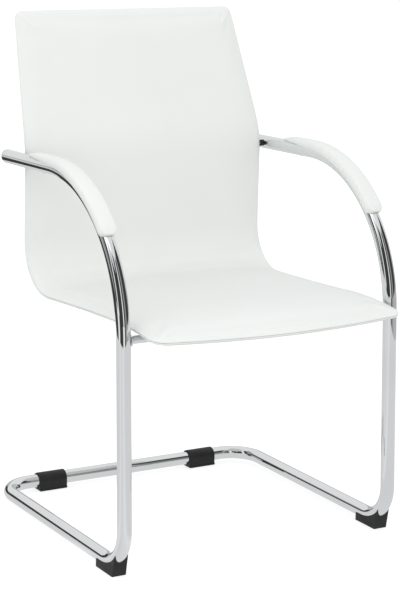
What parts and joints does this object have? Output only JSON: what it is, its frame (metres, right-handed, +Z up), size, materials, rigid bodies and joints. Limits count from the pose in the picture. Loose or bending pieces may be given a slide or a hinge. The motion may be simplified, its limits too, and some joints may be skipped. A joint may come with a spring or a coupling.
{
  "type": "sled base dining chair",
  "caption": "Armchair with a one-piece padded seat and back, hung in a bent chrome tube cantilever sled frame with padded arm rests and plastic floor feet.",
  "frame": {"origin": "on the floor, under the middle of the chair's bounding box", "axes": "+Z up, -Y is the way the sitter faces, +X to the right in the front view"},
  "size_m": [0.5752, 0.612, 0.918],
  "materials": {
    "chrome_tube": "bright chrome plate",
    "black_plastic": "matt moulded plastic",
    "inner_steel": "black powder coat",
    "fasteners": "bright zinc",
    "foam": "moulded flexible foam",
    "white_cover": "smooth satin faux leather",
    "webbing": "woven elastic webbing"
  },
  "bodies": {
    "root": {"left_side_tube": "chrome_tube", "right_side_tube": "chrome_tube", "rear_cross_tube": "chrome_tube", "seat_crossbar": "chrome_tube", "left_arm_end_cap": "black_plastic", "right_arm_end_cap": "black_plastic", "left_front_foot": "black_plastic", "right_front_foot": "black_plastic", "left_rear_glide": "black_plastic", "right_rear_glide": "black_plastic", "arm_spacers": "black_plastic", "seat_saddles": "black_plastic", "joint_spigots": "inner_steel", "left_inner_tube": "inner_steel", "right_inner_tube": "inner_steel", "top_bar": "inner_steel", "arm_level_bar": "inner_steel", "seat_rear_bar": "inner_steel", "seat_front_bar": "inner_steel", "arm_bolt_bushes": "inner_steel", "left_arm_pad_base": "inner_steel", "right_arm_pad_base": "inner_steel", "arm_bolts": "fasteners", "seat_bolts": "fasteners", "arm_pad_screws": "fasteners", "front_foot_screws": "fasteners", "front_foam": "foam", "rear_foam": "foam", "left_arm_pad_foam": "foam", "right_arm_pad_foam": "foam", "front_cover": "white_cover", "rear_cover": "white_cover", "left_arm_pad_cover": "white_cover", "right_arm_pad_cover": "white_cover", "back_straps": "webbing", "seat_straps": "webbing"}
  },
  "joints": []
}
